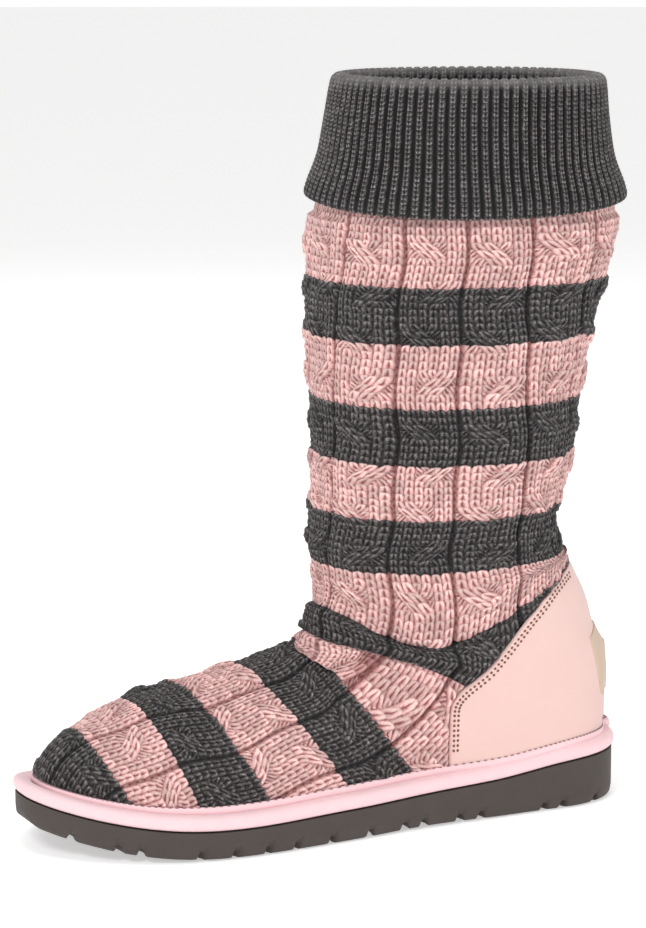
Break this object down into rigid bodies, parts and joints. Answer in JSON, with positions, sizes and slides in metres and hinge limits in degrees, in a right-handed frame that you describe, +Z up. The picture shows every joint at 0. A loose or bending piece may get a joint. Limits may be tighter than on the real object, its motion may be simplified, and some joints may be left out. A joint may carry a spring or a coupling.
{
  "type": "knitted boot",
  "caption": "Tall cable-knit winter boot for the left foot, with a folded ribbed cuff, suede heel counter, suede band and foamed sole.",
  "frame": {"origin": "on the floor, under the middle of the heel's bearing spot", "axes": "+X towards the toe, +Y to the boot's left, which is its outer side, +Z up"},
  "size_m": [0.2754, 0.1316, 0.318],
  "materials": {
    "sole_foam": "matte",
    "band_suede": "napped",
    "inner_felt": "matte",
    "striped_knit": "knitted",
    "charcoal_knit": "ribbed knit",
    "counter_suede": "napped",
    "patch_leather": "smooth"
  },
  "bodies": {
    "root": {"outsole": "sole_foam", "welt": "band_suede", "insole": "inner_felt", "upper": "striped_knit", "cuff": "charcoal_knit", "heel_counter": "counter_suede", "heel_patch": "patch_leather"}
  },
  "joints": []
}
